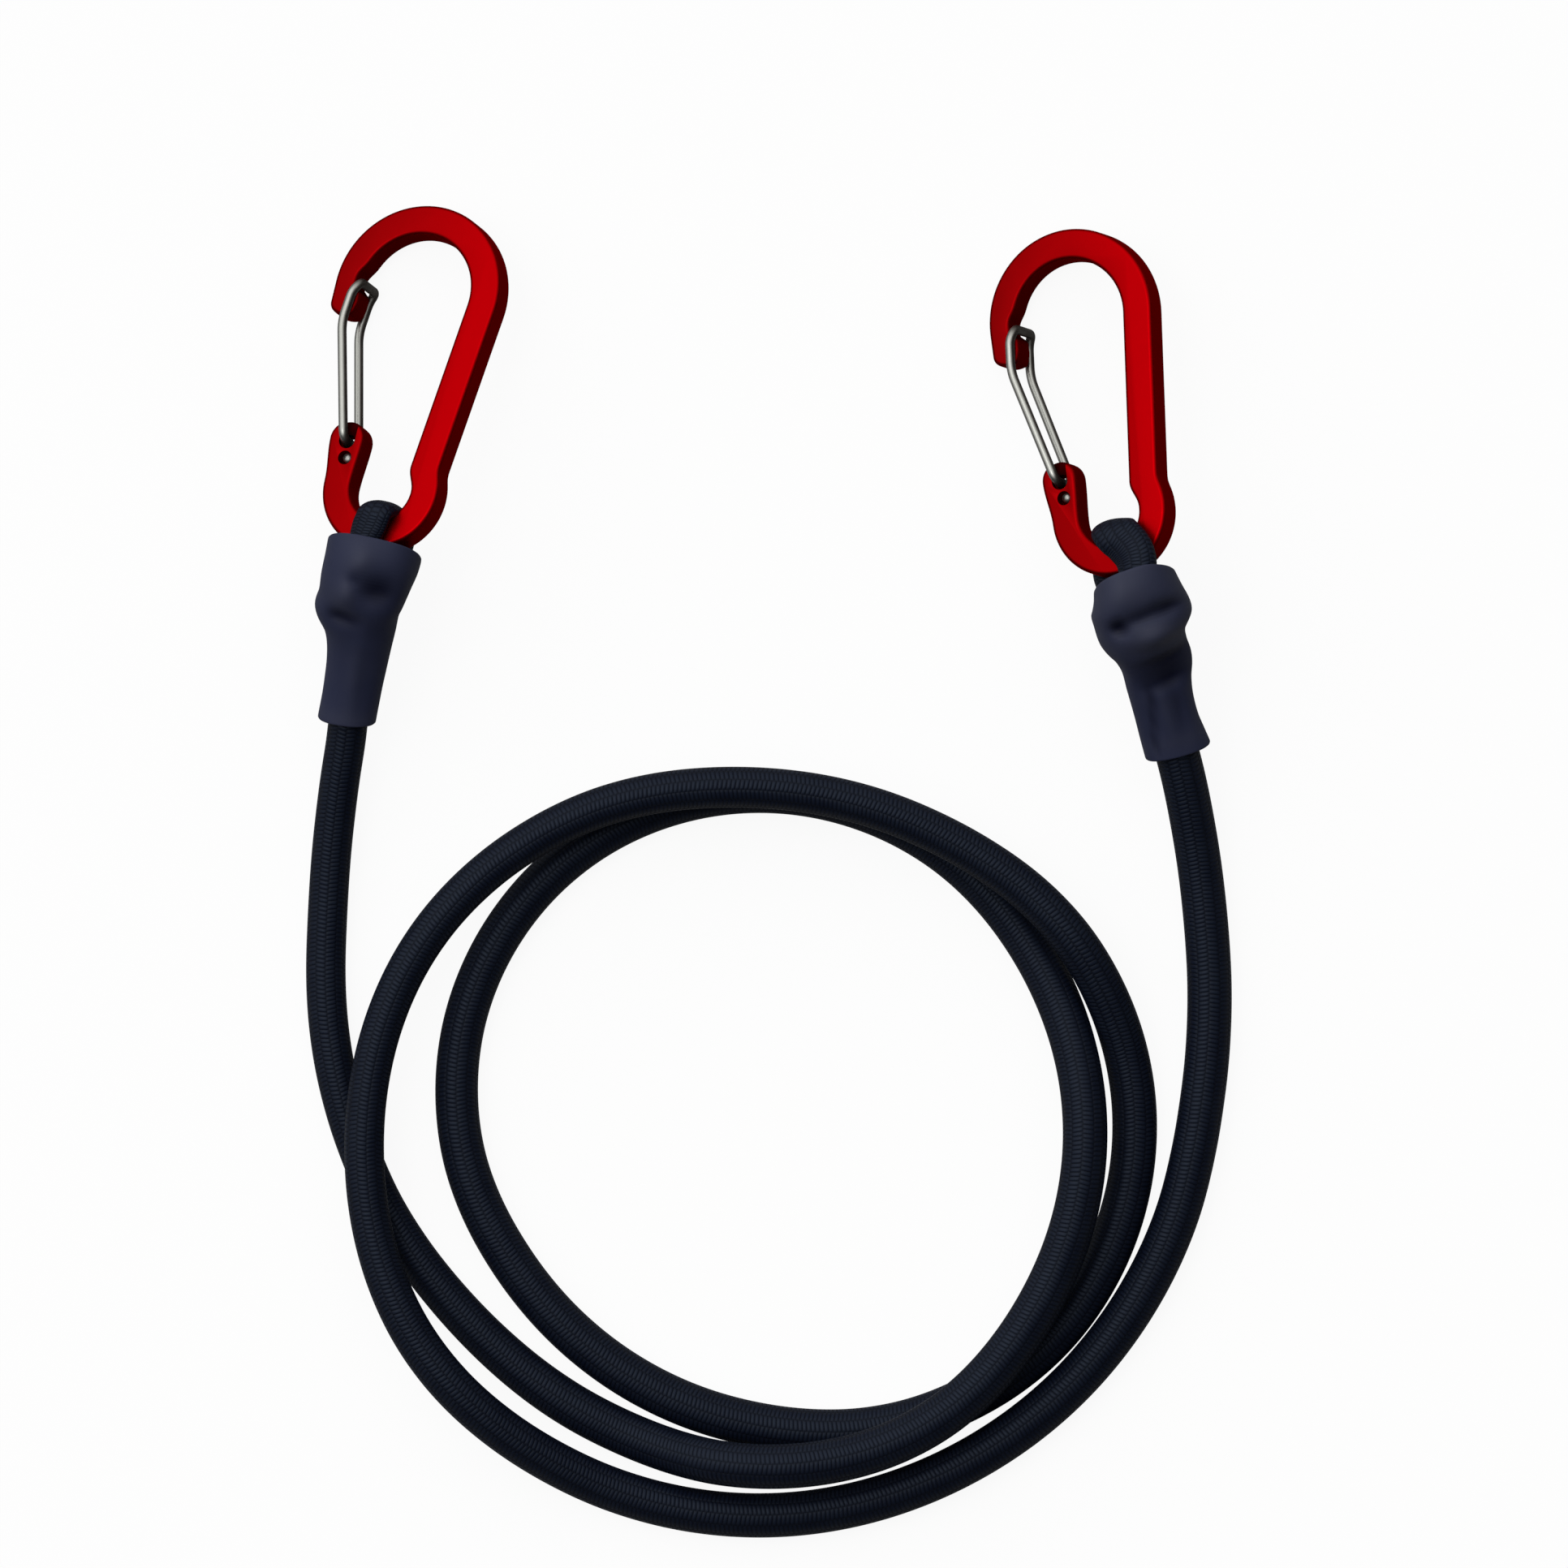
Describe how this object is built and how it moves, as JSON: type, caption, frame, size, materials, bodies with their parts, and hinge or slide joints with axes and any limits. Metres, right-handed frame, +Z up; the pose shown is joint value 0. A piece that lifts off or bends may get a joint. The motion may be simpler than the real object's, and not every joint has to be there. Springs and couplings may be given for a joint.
{
  "type": "bungee cord",
  "caption": "Elastic tie-down cord, coiled once round on a surface, with a small wire-gate snap hook caught in a sleeved eye at each end.",
  "frame": {"origin": "on the table, under the middle of the hooks and sleeves", "axes": "+X from the left end to the right end, +Y from the coil towards the crowns of the hooks, +Z up from the table"},
  "size_m": [0.1132, 0.1626, 0.0234],
  "materials": {
    "hook_red": "red anodised, satin gloss",
    "gate_steel": "bright drawn spring wire",
    "crimp_steel": "plain zinc, hidden in the sleeve",
    "shrink_sleeve": "dark slate-blue shrink tube, soft sheen",
    "cord_braid": "near-black navy braided sheath"
  },
  "bodies": {
    "cord": {"cord_coil": "cord_braid", "cord_left_end": "cord_braid", "cord_right_end": "cord_braid", "left_cord_eye": "cord_braid", "right_cord_eye": "cord_braid", "left_crimp_ring": "crimp_steel", "right_crimp_ring": "crimp_steel", "left_sleeve": "shrink_sleeve", "right_sleeve": "shrink_sleeve"},
    "left_hook": {"left_hook_body": "hook_red"},
    "right_hook": {"right_hook_body": "hook_red"},
    "left_gate": {"left_gate_wire": "gate_steel"},
    "right_gate": {"right_gate_wire": "gate_steel"}
  },
  "joints": [
    {"name": "left_hook_rock", "type": "hinge", "parent": "cord", "child": "left_hook", "pos_m": [-0.04593, -0.00097, 0.01207], "axis": [-0.3602, 0.2762, 0.8911], "range_deg": [-30, 30]},
    {"name": "right_hook_rock", "type": "hinge", "parent": "cord", "child": "right_hook", "pos_m": [0.04307, -0.00387, 0.01207], "axis": [-0.4357, 0.1273, 0.8911], "range_deg": [-30, 30]},
    {"name": "left_gate_hinge", "type": "hinge", "parent": "left_hook", "child": "left_gate", "pos_m": [-0.05015, 0.00373, 0.00891], "axis": [0.3602, -0.2762, -0.8911], "range_deg": [0, 28], "stiffness_Nm_per_rad": 0.02, "springref_deg": -28.65},
    {"name": "right_gate_hinge", "type": "hinge", "parent": "right_hook", "child": "right_gate", "pos_m": [0.03744, -0.00102, 0.00891], "axis": [0.4357, -0.1273, -0.8911], "range_deg": [0, 28], "stiffness_Nm_per_rad": 0.02, "springref_deg": -28.65}
  ]
}
